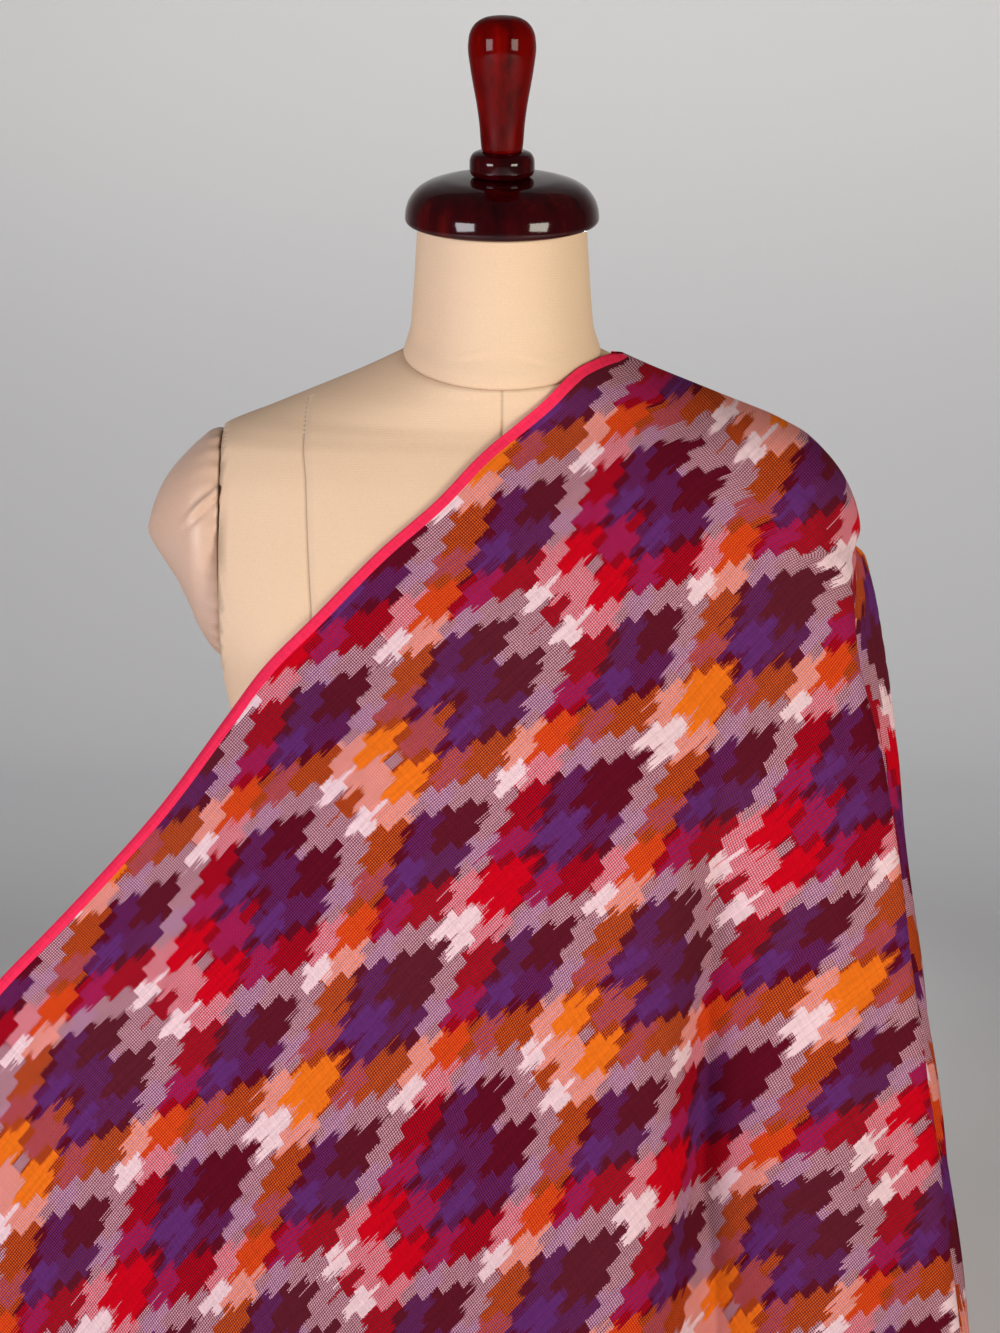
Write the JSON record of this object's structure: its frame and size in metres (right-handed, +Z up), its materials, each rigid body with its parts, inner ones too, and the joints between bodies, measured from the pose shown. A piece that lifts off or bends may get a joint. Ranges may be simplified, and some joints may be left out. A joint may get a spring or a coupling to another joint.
{
  "type": "ikat fabric draped over a dress form",
  "caption": "Double-ikat cotton length with a red selvedge, draped diagonally over one shoulder of a padded table-top dress form with a turned wooden neck cap.",
  "frame": {"origin": "centre of the form's flat underside, on the surface that it stands on", "axes": "+X to the right of someone facing the form, +Y towards its back, +Z up"},
  "size_m": [0.8713, 0.3357, 0.8992],
  "materials": {
    "ikat_cotton": "matt plain-woven double ikat in red, orange, pink, violet and maroon",
    "jersey": "fine beige knitted cover",
    "turned_wood": "dark mahogany red, high gloss lacquer"
  },
  "bodies": {
    "root": {"cloth": "ikat_cotton", "form_torso": "jersey", "form_neck": "jersey", "arm_cap_left": "jersey", "arm_cap_right": "jersey", "neck_cap": "turned_wood", "cap_collar": "turned_wood", "cap_handle": "turned_wood"}
  },
  "joints": []
}
